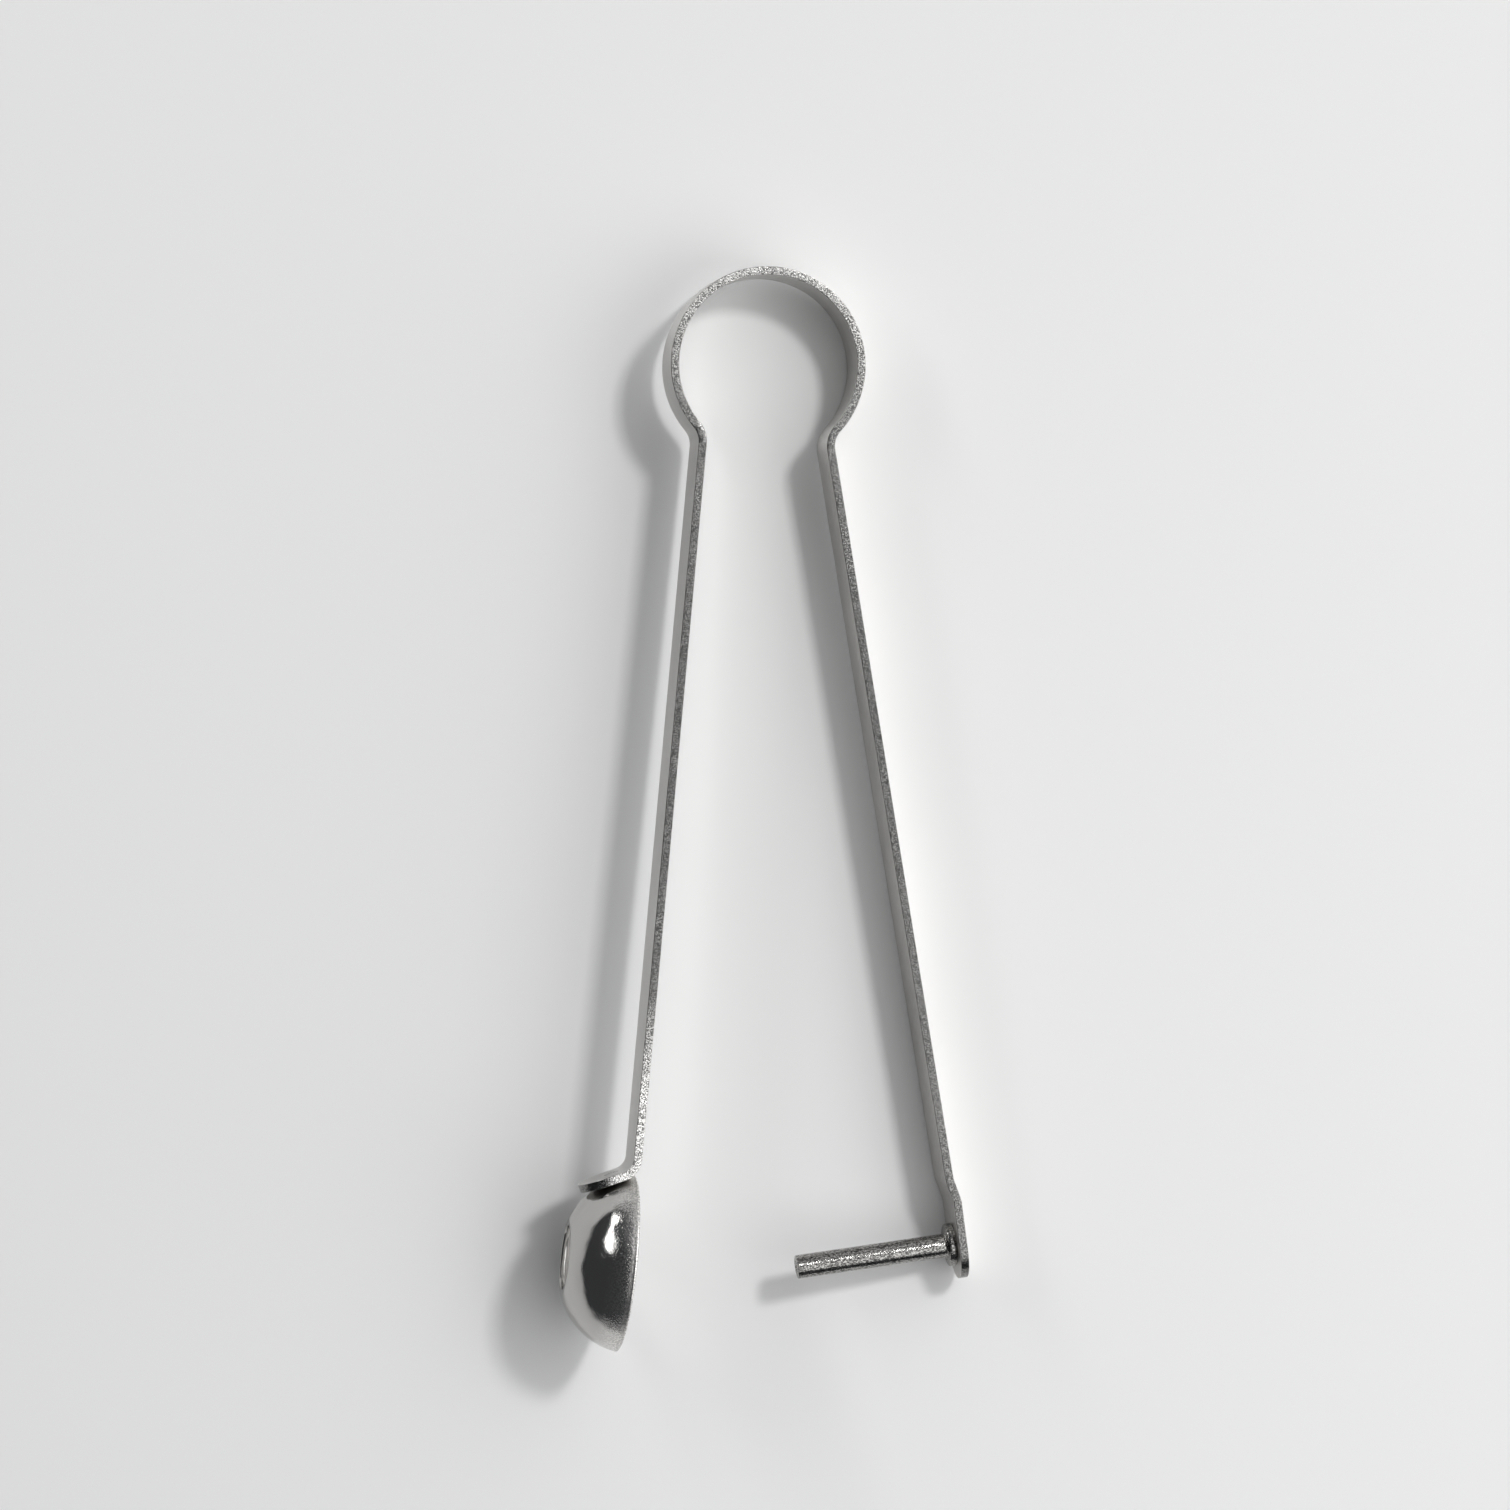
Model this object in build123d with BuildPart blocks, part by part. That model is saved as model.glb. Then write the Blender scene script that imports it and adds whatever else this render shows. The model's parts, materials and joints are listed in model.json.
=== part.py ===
from build123d import *
from math import cos, hypot, radians, sin, sqrt
import os

# Tong-type cherry stoner: one bent spring strip carries a cup and a punch.
# Millimetres, +Z up. The tool lies on its side on a table, loop towards +Y and
# punch arm towards +X. The origin is on the table, in the middle of its box.

# Strip
strip_width = 11.0
strip_thickness = 1.5
loop_radius = 16.25           # middle of the strip's thickness
neck_radius = 4.5             # reverse bend between the loop and a leg
end_flat = 0.4                # what the two end corners leave between them

# Cup arm: angles are headings from the tool's length, outwards
cup_leg_angle = 5.2
cup_leg_offset = 10.17        # from the loop's centre, square to the leg
cup_leg_length = 140.3        # down the leg to its corner with the foot
cup_foot_angle = 71.5
cup_foot_length = 9.8
cup_foot_bend = 3.4
cup_hole_inset = 6.0

# Punch arm
punch_leg_angle = 9.34
punch_leg_offset = 8.44
punch_leg_length = 143.97
joggle_angle = 20.6
joggle_length = 3.95
joggle_bend = 4.0
punch_foot_angle = 7.6
punch_foot_length = 13.77
punch_hole_inset = 6.0

# Cup
cup_diameter = 30.5           # over the rim
cup_wall = 0.9
cup_tilt = 6.3                # of the cup's axis against the tool's width
cup_depth = 10.6              # outside, from the rim to the flat land
cup_land_diameter = 15.7      # the flat land round the pit hole
pit_hole_diameter = 11.0
rim_edge_break = 0.25
cup_flat_depth = 0.25         # the wall is pressed flat where it is riveted
cup_flat_margin = 0.7         # of the pressed pad beyond the rivet's head

# Cup rivet
rivet_diameter = 2.4
rivet_head_diameter = 4.4
rivet_head_height = 0.6
rivet_head_edge = 0.3
rivet_tail_diameter = 3.0     # flush, in a 90 degree countersink

# Punch
punch_diameter = 4.1
punch_length = 26.5           # from the collar to the tip
punch_edge = 0.15
tip_dish_diameter = 2.8
tip_dish_depth = 0.4
root_cone = 0.4                # between the collar and the rod
collar_diameter = 7.4
collar_height = 1.4
collar_edge = 0.2
tang_diameter = 3.2           # through the strip
tail_diameter = 4.4           # flush, in a 90 degree countersink


def heading(angle):
    """Down the tool, turned by angle towards +x."""
    return Vector(sin(radians(angle)), -cos(radians(angle)))


def band(path):
    """Face of the strip's thickness on both sides of its middle line."""
    left = path.offset_2d(strip_thickness / 2, side=Side.LEFT, closed=False)
    right = path.offset_2d(strip_thickness / 2, side=Side.RIGHT, closed=False)
    add(left)
    add(right)
    for end in (0, 1):
        tip, along = path @ end, path % end
        across = Vector(-along.Y, along.X) * (strip_thickness / 2)
        Line(tip - across, tip + across)


# Lines of the tool, drawn from the loop's centre: x across, y towards the loop
cup_way = heading(-cup_leg_angle)
cup_out = Vector(-cos(radians(cup_leg_angle)), sin(radians(cup_leg_angle)))
cup_foot_way = heading(-cup_foot_angle)
cup_foot_under = Vector(-cup_foot_way.Y, cup_foot_way.X)
cup_corner = cup_out * cup_leg_offset + cup_way * cup_leg_length
cup_foot_end = cup_corner + cup_foot_way * cup_foot_length

punch_way = heading(punch_leg_angle)
punch_out = Vector(cos(radians(punch_leg_angle)), sin(radians(punch_leg_angle)))
punch_foot_way = heading(punch_foot_angle)
punch_foot_out = Vector(cos(radians(punch_foot_angle)), sin(radians(punch_foot_angle)))
joggle_start = punch_out * punch_leg_offset + punch_way * punch_leg_length
joggle_end = joggle_start + heading(joggle_angle) * joggle_length
punch_foot_end = joggle_end + punch_foot_way * punch_foot_length

# Necks: the reverse bend touches the loop's circle and the leg
cup_neck = cup_out * (cup_leg_offset + neck_radius) + cup_way * sqrt(
    (loop_radius + neck_radius) ** 2 - (cup_leg_offset + neck_radius) ** 2)
punch_neck = punch_out * (punch_leg_offset + neck_radius) + punch_way * sqrt(
    (loop_radius + neck_radius) ** 2 - (punch_leg_offset + neck_radius) ** 2)
cup_neck_end = cup_neck - cup_out * neck_radius
punch_neck_end = punch_neck - punch_out * neck_radius

# Cup: a sphere from the rim to the land, that hangs tangent under the foot, below the rivet
cup_axis = Vector(-cos(radians(cup_tilt)), sin(radians(cup_tilt)))
cup_up = Vector(sin(radians(cup_tilt)), cos(radians(cup_tilt)))
cup_radius = cup_diameter / 2
land_radius = cup_land_diameter / 2
sphere_setback = (cup_radius ** 2 - land_radius ** 2 - cup_depth ** 2) / (2 * cup_depth)
cup_sphere_radius = hypot(cup_radius, sphere_setback)
rivet_point = cup_foot_end - cup_foot_way * cup_hole_inset
seat_point = rivet_point + cup_foot_under * (strip_thickness / 2)
sphere_centre = seat_point + cup_foot_under * (cup_sphere_radius - cup_flat_depth)
mouth = sphere_centre + cup_axis * sphere_setback
pit_radius = pit_hole_diameter / 2

# Punch: square to the foot of its arm
punch_point = punch_foot_end - punch_foot_way * punch_hole_inset

# The round edges that the lying tool reaches furthest with
across_strip = Vector(0, 0, 1)
end_radius = (strip_width - end_flat) / 2
loop_edge = (Vector(0, 0, -strip_width / 2), across_strip, loop_radius + strip_thickness / 2)
loop_top = (Vector(0, 0, strip_width / 2), across_strip, loop_radius + strip_thickness / 2)
rim_edge = (mouth, cup_axis, cup_radius)
land_edge = (mouth + cup_axis * cup_depth, cup_axis, land_radius)
foot_corner = (punch_foot_end - punch_foot_way * end_radius
               + punch_foot_out * (strip_thickness / 2) - across_strip * (end_flat / 2),
               punch_foot_out, end_radius)
foot_top = (foot_corner[0] + across_strip * end_flat, punch_foot_out, end_radius)


def furthest(edge, way):
    """The point of a round edge that lies furthest in a direction."""
    centre, axis, radius = edge
    return centre + (way - axis * axis.dot(way)).normalized() * radius


# The table touches the cup's rim, the loop's edge and the foot of the punch arm
up = Vector(-0.2, 0, 1).normalized()
for _ in range(30):
    rim_low, loop_low, foot_low = (furthest(e, -up) for e in (rim_edge, loop_edge, foot_corner))
    up = (foot_low - rim_low).cross(loop_low - rim_low).normalized()
row_x = Vector(0, 1, 0).cross(up).normalized()
row_y = up.cross(row_x)
round_edges = (loop_edge, loop_top, rim_edge, land_edge, foot_corner, foot_top)
x_high, x_low, y_high, y_low = (
    max(furthest(e, way).dot(way) for e in round_edges) for way in (row_x, -row_x, row_y, -row_y))
table = Plane(
    origin=row_x * ((x_high - x_low) / 2) + row_y * ((y_high - y_low) / 2) + up * rim_low.dot(up),
    x_dir=row_x, z_dir=up)
tool = Plane(
    origin=table.to_local_coords(Vector(0, 0, 0)),
    x_dir=table.to_local_coords(Vector(1, 0, 0)) - table.to_local_coords(Vector(0, 0, 0)),
    z_dir=table.to_local_coords(Vector(0, 0, 1)) - table.to_local_coords(Vector(0, 0, 0)))


def on_tool(point, normal, x_dir=(0, 0, 1)):
    """A plane given in the tool's own lines."""
    return tool.moved(Plane(origin=point, x_dir=x_dir, z_dir=normal))


# Spring loop
with BuildPart() as spring_loop:
    with BuildSketch(tool):
        with BuildLine():
            cup_touch = cup_neck * (loop_radius / (loop_radius + neck_radius))
            punch_touch = punch_neck * (loop_radius / (loop_radius + neck_radius))
            with BuildLine(mode=Mode.PRIVATE) as turn:
                RadiusArc(cup_neck_end, cup_touch, -neck_radius)
                ThreePointArc(cup_touch, (0, loop_radius), punch_touch)
                RadiusArc(punch_touch, punch_neck_end, -neck_radius)
            band(turn.wire())
        make_face()
    extrude(amount=strip_width / 2, both=True)
spring_loop.part.label = "spring_loop"

# Cup arm
with BuildPart() as cup_arm:
    with BuildSketch(tool):
        with BuildLine():
            with BuildLine(mode=Mode.PRIVATE) as cup_path:
                FilletPolyline(cup_neck_end, cup_corner, cup_foot_end, radius=cup_foot_bend)
            band(cup_path.wire())
        make_face()
    extrude(amount=strip_width / 2, both=True)
    end_face = cup_arm.faces().sort_by(
        Axis(on_tool(cup_foot_end, cup_foot_way).origin, on_tool(cup_foot_end, cup_foot_way).z_dir))[-1]
    fillet(end_face.edges().filter_by(
        lambda e: abs(e.length - strip_thickness) < 1e-3), radius=end_radius)
    with Locations(on_tool(rivet_point - cup_foot_under * (strip_thickness / 2), -cup_foot_under)):
        CounterSinkHole(rivet_diameter / 2, rivet_tail_diameter / 2, counter_sink_angle=90)
cup_arm.part.label = "cup_arm"

# Punch arm
with BuildPart() as punch_arm:
    with BuildSketch(tool):
        with BuildLine():
            with BuildLine(mode=Mode.PRIVATE) as punch_path:
                FilletPolyline(punch_neck_end, joggle_start, joggle_end, punch_foot_end,
                               radius=joggle_bend)
            band(punch_path.wire())
        make_face()
    extrude(amount=strip_width / 2, both=True)
    end_face = punch_arm.faces().sort_by(
        Axis(on_tool(punch_foot_end, punch_foot_way).origin,
             on_tool(punch_foot_end, punch_foot_way).z_dir))[-1]
    fillet(end_face.edges().filter_by(
        lambda e: abs(e.length - strip_thickness) < 1e-3), radius=end_radius)
    with Locations(on_tool(punch_point + punch_foot_out * (strip_thickness / 2), punch_foot_out)):
        CounterSinkHole(tang_diameter / 2, tail_diameter / 2, counter_sink_angle=90)
punch_arm.part.label = "punch_arm"

# Cup: a drawn bowl, its wall pressed flat under the rivet
with BuildPart() as cup:
    bowl_plane = on_tool(mouth, Vector(0, 0, 1), x_dir=cup_axis)
    with BuildSketch(bowl_plane) as bowl_profile:
        with BuildLine():
            inner_sphere = cup_sphere_radius - cup_wall
            inner_rim = sqrt(inner_sphere ** 2 - sphere_setback ** 2)
            inner_land = sqrt(inner_sphere ** 2 - (cup_depth - cup_wall + sphere_setback) ** 2)
            outer = RadiusArc((0, cup_radius), (cup_depth, land_radius), cup_sphere_radius)
            inner = RadiusArc((0, inner_rim), (cup_depth - cup_wall, inner_land), inner_sphere)
            Line(outer @ 0, inner @ 0)
            Polyline(outer @ 1, (cup_depth, pit_radius), (cup_depth - cup_wall, pit_radius),
                     inner @ 1)
        make_face()
        chamfer(bowl_profile.vertices().sort_by(Axis.X)[:2], length=rim_edge_break)
    revolve(axis=Axis(bowl_plane.origin, bowl_plane.x_dir))
    flat_plane = on_tool(seat_point, cup_foot_under)
    with BuildSketch(flat_plane.offset(cup_wall / 2)):
        Circle(rivet_head_diameter / 2 + cup_flat_margin)
    extrude(amount=cup_wall / 2)
    split(bisect_by=flat_plane, keep=Keep.TOP)
    with Locations(flat_plane):
        Hole(rivet_diameter / 2, depth=2 * cup_wall)
cup.part.label = "cup"

# Cup rivet: low head inside the cup, tail flush in the foot
with BuildPart() as cup_rivet:
    rivet_plane = on_tool(rivet_point - cup_foot_under * (strip_thickness / 2),
                          Vector(0, 0, 1), x_dir=cup_foot_under)
    with BuildSketch(rivet_plane):
        with BuildLine():
            head_at = strip_thickness + cup_wall
            tail_depth = (rivet_tail_diameter - rivet_diameter) / 2
            Polyline((0, 0), (0, rivet_tail_diameter / 2), (tail_depth, rivet_diameter / 2),
                     (head_at, rivet_diameter / 2), (head_at, rivet_head_diameter / 2),
                     (head_at + rivet_head_height, rivet_head_diameter / 2),
                     (head_at + rivet_head_height, 0), (0, 0))
        make_face()
    revolve(axis=Axis(rivet_plane.origin, rivet_plane.x_dir))
    chamfer(cup_rivet.edges().filter_by(GeomType.CIRCLE).sort_by(
        Axis(rivet_plane.origin, rivet_plane.x_dir))[-1], length=rivet_head_edge)
cup_rivet.part.label = "cup_rivet"

# Punch: turned pin with its collar, tail flush in the strip
with BuildPart() as punch:
    punch_plane = on_tool(punch_point + punch_foot_out * (strip_thickness / 2),
                          Vector(0, 0, 1), x_dir=-punch_foot_out)
    with BuildSketch(punch_plane):
        collar_face = strip_thickness + collar_height
        tip = collar_face + punch_length
        with BuildLine():
            punch_tail_depth = (tail_diameter - tang_diameter) / 2
            Polyline((0, 0), (0, tail_diameter / 2), (punch_tail_depth, tang_diameter / 2),
                     (strip_thickness, tang_diameter / 2),
                     (strip_thickness, collar_diameter / 2), (collar_face, collar_diameter / 2),
                     (collar_face, punch_diameter / 2 + root_cone),
                     (collar_face + root_cone, punch_diameter / 2), (tip, punch_diameter / 2),
                     (tip, tip_dish_diameter / 2), (tip - tip_dish_depth, 0), (0, 0))
        make_face()
    revolve(axis=Axis(punch_plane.origin, punch_plane.x_dir))
    punch_axis = Axis(punch_plane.origin, punch_plane.x_dir)
    for ring, size in ((punch_diameter, punch_edge), (collar_diameter, collar_edge)):
        rings = punch.edges().filter_by(GeomType.CIRCLE)
        chamfer(rings.filter_by(lambda e: abs(e.radius - ring / 2) < 1e-6).sort_by(
            punch_axis)[-1], length=size)
punch.part.label = "punch"

os.makedirs("parts", exist_ok=True)
export_step(spring_loop.part, "parts/spring_loop.step")
export_step(cup_arm.part, "parts/cup_arm.step")
export_step(punch_arm.part, "parts/punch_arm.step")
export_step(cup.part, "parts/cup.step")
export_step(cup_rivet.part, "parts/cup_rivet.step")
export_step(punch.part, "parts/punch.step")

hinge = tool.origin
hinge_axis = -tool.z_dir
print("hinge", tuple(round(v, 4) for v in hinge), "axis", tuple(round(v, 6) for v in hinge_axis))
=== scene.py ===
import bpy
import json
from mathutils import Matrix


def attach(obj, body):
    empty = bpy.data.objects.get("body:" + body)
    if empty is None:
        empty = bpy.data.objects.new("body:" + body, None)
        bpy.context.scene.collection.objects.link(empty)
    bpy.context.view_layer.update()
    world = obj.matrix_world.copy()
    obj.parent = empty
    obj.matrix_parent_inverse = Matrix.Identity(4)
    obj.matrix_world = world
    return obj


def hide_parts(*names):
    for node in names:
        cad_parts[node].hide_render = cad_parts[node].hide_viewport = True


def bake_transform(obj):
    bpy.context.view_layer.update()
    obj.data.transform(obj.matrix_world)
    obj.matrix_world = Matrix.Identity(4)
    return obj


bl_info = {
    "name": "Cherry Pitter",
    "version": (1, 0, 0),
    "blender": (4, 5, 0),
    "location": "3D View > Sidebar > Pitter",
    "description": "Models a spring-steel cherry pitter that lies on a table",
    "category": "Add Mesh",
}

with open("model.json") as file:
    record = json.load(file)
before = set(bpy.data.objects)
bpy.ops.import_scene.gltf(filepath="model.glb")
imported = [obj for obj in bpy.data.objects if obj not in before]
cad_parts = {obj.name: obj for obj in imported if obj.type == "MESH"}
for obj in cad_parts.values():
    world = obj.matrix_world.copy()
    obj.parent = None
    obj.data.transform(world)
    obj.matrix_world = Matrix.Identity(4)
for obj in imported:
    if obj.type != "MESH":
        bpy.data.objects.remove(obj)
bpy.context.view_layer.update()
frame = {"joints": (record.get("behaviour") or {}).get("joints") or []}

import json
from math import asin, cos, hypot, pi, radians, sin, sqrt

import bmesh
import bpy
from bpy.props import FloatProperty, FloatVectorProperty, IntProperty, PointerProperty
from mathutils import Matrix, Vector

SQUEEZE = frame["joints"][0]


def tool_matrix():
    """The tool's own lines: x across the arms, y up to the loop, z across the strip."""
    across = -Vector(SQUEEZE["axis"]).normalized()
    up = across.cross(Vector((1, 0, 0))).normalized()
    side = up.cross(across)
    turn = Matrix((side, up, across)).transposed().to_4x4()
    return Matrix.Translation(Vector(SQUEEZE["pos_m"])) @ turn


TOOL = tool_matrix()
ACROSS = Vector((0, 0, 1))

# Fine sizes, in metres, and how near is near enough
MERGE = 1e-7                   # points nearer than this become one
IN_PLANE = 1e-6                # points nearer than this to a plane lie in it
ALONG = 0.99                   # lines with a larger cosine between them are parallel
TAIL_GAP = 0.00004             # left all round a flush tail
TAIL_SUNK = 0.00003            # from the strip's face down to a flush tail
GROOVE_DEPTH = 0.00012         # of the fine groove round a flush tail
GROOVE_INSET = 0.0001          # from the tail's radius in to the groove's floor
DRILL_MARGIN = 0.0004          # how far a drill stands out of the strip
HOLE_REACH = 0.0035            # from a hole's centre out over its countersink
# The cup's grain near the rim also carries painted glints: specks brightened in its colour
RIM_GRAIN_AND_GLINTS = 0.005              # from the cup's rim in to where its grain has faded out
TABLE_DROP = 0.00002           # from the tool's lowest points down to the table

# Steps round the bends and edges, sides of what is turned, and angles of a small round
FOOT_STEPS, NECK_STEPS, LOOP_STEPS, JOGGLE_STEPS = 20, 24, 150, 8
END_STEPS, EDGE_STEPS, WALL_STEPS = 18, 3, 40
CUP_SIDES, RIVET_SIDES = 160, 64
QUARTER = [pi / 2 * k / 6 for k in range(7)]


# Sizes and colours that can be changed

def length(name, default, description):
    return FloatProperty(name=name, default=default, min=0, unit="LENGTH", subtype="DISTANCE",
                         precision=5, description=description)


def angle(name, degrees, description):
    return FloatProperty(name=name, default=radians(degrees), unit="ROTATION", subtype="ANGLE",
                         description=description)


def colour(name, default, description):
    return FloatVectorProperty(name=name, default=default, size=3, min=0, max=1,
                               subtype="COLOR", description=description)


def amount(name, default, description):
    return FloatProperty(name=name, default=default, min=0, max=1, subtype="FACTOR",
                         description=description)


def power(name, default, description):
    return FloatProperty(name=name, default=default, min=0, unit="POWER",
                         description=description)


class PitterStrip(bpy.types.PropertyGroup):
    """Sizes of the bent spring strip"""
    width: length("Width", 0.011, "Width of the strip")
    thickness: length("Thickness", 0.0015, "Thickness of the strip")
    edge: length("Edge Break", 0.00014, "Softened edge between a face and a cut edge")
    end_flat: length("End Flat", 0.0004, "Flat left between the two round end corners")
    loop_radius: length("Loop Radius", 0.01625, "Radius of the loop at mid thickness")
    neck_radius: length("Neck Radius", 0.0045, "Reverse bend between the loop and an arm")
    cup_leg_angle: angle("Cup Arm Angle", 5.2, "Lean of the cup arm")
    cup_leg_offset: length("Cup Arm Offset", 0.01017, "From the loop's centre to the cup arm")
    cup_leg_length: length("Cup Arm Length", 0.1403, "Down the cup arm to its foot")
    cup_foot_angle: angle("Cup Foot Angle", 71.5, "Heading of the foot that holds the cup")
    cup_foot_length: length("Cup Foot Length", 0.0098, "Length of the foot that holds the cup")
    cup_foot_bend: length("Cup Foot Bend", 0.0034, "Bend at the cup foot")
    cup_hole_inset: length("Cup Hole Inset", 0.006, "From the foot's end to the rivet")
    punch_leg_angle: angle("Punch Arm Angle", 9.34, "Lean of the punch arm")
    punch_leg_offset: length("Punch Arm Offset", 0.00844, "From the loop's centre to the arm")
    punch_leg_length: length("Punch Arm Length", 0.14397, "Down the punch arm to its joggle")
    joggle_angle: angle("Joggle Angle", 20.6, "Heading of the joggle in the punch arm")
    joggle_length: length("Joggle Length", 0.00395, "Length of the joggle")
    joggle_bend: length("Joggle Bend", 0.004, "Bends of the joggle")
    punch_foot_angle: angle("Punch Foot Angle", 7.6, "Heading of the foot with the punch")
    punch_foot_length: length("Punch Foot Length", 0.01377, "Length of that foot")
    punch_hole_inset: length("Punch Hole Inset", 0.006, "From the foot's end to the punch")


class PitterCup(bpy.types.PropertyGroup):
    """Sizes of the cup and its rivet"""
    diameter: length("Diameter", 0.0305, "Over the rim")
    wall: length("Wall", 0.0009, "Thickness of the cup's wall")
    tilt: angle("Tilt", 6.3, "Of the cup's axis")
    land: length("Land", 0.0157, "Diameter of the flat land that the frame's sphere ends on")
    seat_flat: length("Seat Flat", 0.00025, "How far the wall is pressed in at the rivet")
    shoulder: length("Shoulder", 0.0128, "Radius of the drawn wall from rim to land")
    depth: length("Depth", 0.0106, "From the rim to the land round the pit hole")
    hole: length("Pit Hole", 0.011, "Diameter of the pit hole")
    rivet: length("Rivet", 0.0024, "Diameter of the rivet")
    rivet_head: length("Rivet Head", 0.0044, "Diameter of the low head inside the cup")
    rivet_tail: length("Rivet Tail", 0.003, "Diameter of the flush tail")


class PitterPunch(bpy.types.PropertyGroup):
    """Sizes of the turned punch"""
    diameter: length("Diameter", 0.0041, "Of the rod")
    reach: length("Length", 0.0265, "From the collar to the tip")
    collar: length("Collar", 0.0074, "Diameter of the collar")
    collar_height: length("Collar Height", 0.0014, "Thickness of the collar")
    tang: length("Tang", 0.0032, "Diameter through the strip")
    tail: length("Tail", 0.0044, "Diameter of the flush tail")
    dish: length("Tip Dish", 0.0028, "Diameter of the hollow in the tip")
    sides: IntProperty(name="Sides", default=96, min=24, description="Facets round the punch")


class PitterFinish(bpy.types.PropertyGroup):
    """Colours and gloss of the nickel plate"""
    strip: colour("Strip", (0.62, 0.61, 0.59), "Satin faces of the strip")
    cut: colour("Cut Edge", (0.60, 0.595, 0.58), "Sheared edges of the strip")
    cup: colour("Cup", (0.56, 0.55, 0.535), "Polished cup")
    punch: colour("Punch", (0.56, 0.55, 0.53), "Turned punch and rivet")
    satin: amount("Satin", 0.28, "Roughness of the strip's faces")
    polish: amount("Polish", 0.08, "Roughness of the cup")


class PitterStage(bpy.types.PropertyGroup):
    """The table, the lamps and the camera"""
    floor: colour("Table", (0.84, 0.84, 0.835), "Colour of the table")
    lens: FloatProperty(name="Lens", default=150, min=20, unit="CAMERA",
                        description="Focal length in millimetres")
    view_turn: angle("View Turn", 8.6, "How far the camera stands to the left of straight above")
    seen: length("Seen Width", 0.2612, "Width that the picture covers")
    key: power("Key Light", 20, "Main light, from the upper right")
    window: power("Strip Light", 1.6, "Tall light from the upper left, seen in the cup")
    panels: power("Panels", 2.5, "The two wide panels overhead, before each takes its share")
    sky: FloatProperty(name="Sky", default=1.3, min=0,
                       description="Brightness of the reflector on the right")


# Modelling helpers

def start():
    """Object mode, with nothing selected."""
    if bpy.context.object and bpy.context.object.mode != "OBJECT":
        bpy.ops.object.mode_set(mode="OBJECT")
    bpy.ops.object.select_all(action="DESELECT")


def take(obj):
    """Object mode, with one object selected and active."""
    start()
    obj.select_set(True)
    bpy.context.view_layer.objects.active = obj


def edit(kind="VERT"):
    bpy.ops.object.mode_set(mode="EDIT")
    bpy.ops.mesh.select_mode(type=kind)


def settle(obj, matrix):
    """Applies a place to the mesh, so that the object itself stays at the origin."""
    take(obj)
    obj.matrix_world = matrix
    bpy.ops.object.transform_apply(location=True, rotation=True, scale=True)


def choose_edges(obj, test):
    """Selects the edges that pass a test, in edit mode."""
    bpy.ops.mesh.select_mode(type="EDGE")
    bpy.ops.mesh.select_all(action="DESELECT")
    mesh = bmesh.from_edit_mesh(obj.data)
    for edge in mesh.edges:
        if test(edge):
            edge.select_set(True)
    mesh.select_flush_mode()
    bmesh.update_edit_mesh(obj.data)


def clean_up():
    """Merges doubles and turns all faces outwards, in edit mode."""
    bpy.ops.mesh.select_all(action="SELECT")
    bpy.ops.mesh.remove_doubles(threshold=MERGE)
    bpy.ops.mesh.normals_make_consistent(inside=False)


def apply_modifier(obj, kind, **settings):
    take(obj)
    modifier = obj.modifiers.new(kind.title(), kind)
    for name, value in settings.items():
        setattr(modifier, name, value)
    bpy.ops.object.modifier_apply(modifier=modifier.name)


def cut_away(obj, cutter):
    """Takes the cutter's shape out of an object, and deletes the cutter."""
    apply_modifier(obj, "BOOLEAN", object=cutter, operation="DIFFERENCE", solver="EXACT")
    bpy.data.objects.remove(cutter)


def turned(name, profile, sides, closed=False):
    """Turns (height, radius) steps round the z axis, as on a lathe.

    Its ends are capped, or left open for a closed profile, to be bridged later.
    """
    start()
    height, radius = profile[0]
    bpy.ops.mesh.primitive_circle_add(vertices=sides, radius=radius, location=(0, 0, height),
                                      fill_type="NOTHING" if closed else "NGON")
    obj = bpy.context.object
    obj.name = obj.data.name = name
    edit()
    bpy.ops.mesh.select_all(action="SELECT")
    extrude = bpy.ops.mesh.extrude_edges_move if closed else bpy.ops.mesh.extrude_region_move
    for next_height, next_radius in profile[1:]:
        extrude(TRANSFORM_OT_translate={"value": (0, 0, next_height - height)})
        grow = next_radius / radius
        bpy.ops.transform.resize(value=(grow, grow, 1), center_override=(0, 0, next_height))
        height, radius = next_height, next_radius
    clean_up()
    bpy.ops.object.mode_set(mode="OBJECT")
    settle(obj, obj.matrix_world.copy())
    return obj


def eased(corner, before, after, middle=0.3):
    """Three steps of a profile round a softened corner, from before it to after it."""
    (height, radius), (rise, grow), (next_rise, next_grow) = corner, before, after
    return [(height + rise, radius + grow),
            (height + middle * (rise + next_rise), radius + middle * (grow + next_grow)),
            (height + next_rise, radius + next_grow)]


def flush_tail(radius, flat, edge):
    """The first steps of a pin: its tail's face, and the fine groove round it."""
    return [(TAIL_SUNK, radius * flat), (TAIL_SUNK, radius - edge),
            (GROOVE_DEPTH, radius - GROOVE_INSET)]


def on_tool(point, way):
    """A matrix at a point in the tool's lines, with z along way and y across the strip."""
    z = way.normalized()
    x = ACROSS.cross(z).normalized()
    y = z.cross(x)
    return TOOL @ Matrix.Translation(point) @ Matrix((x, y, z)).transposed().to_4x4()


def dress(obj, *materials):
    obj.data.materials.clear()
    for material in materials:
        obj.data.materials.append(material)


def smooth(obj, degrees):
    take(obj)
    bpy.ops.object.shade_smooth_by_angle(angle=radians(degrees))


# Lines of the tool

def heading(turn):
    """Down the tool, turned towards the punch arm."""
    return Vector((sin(turn), -cos(turn), 0))


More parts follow.
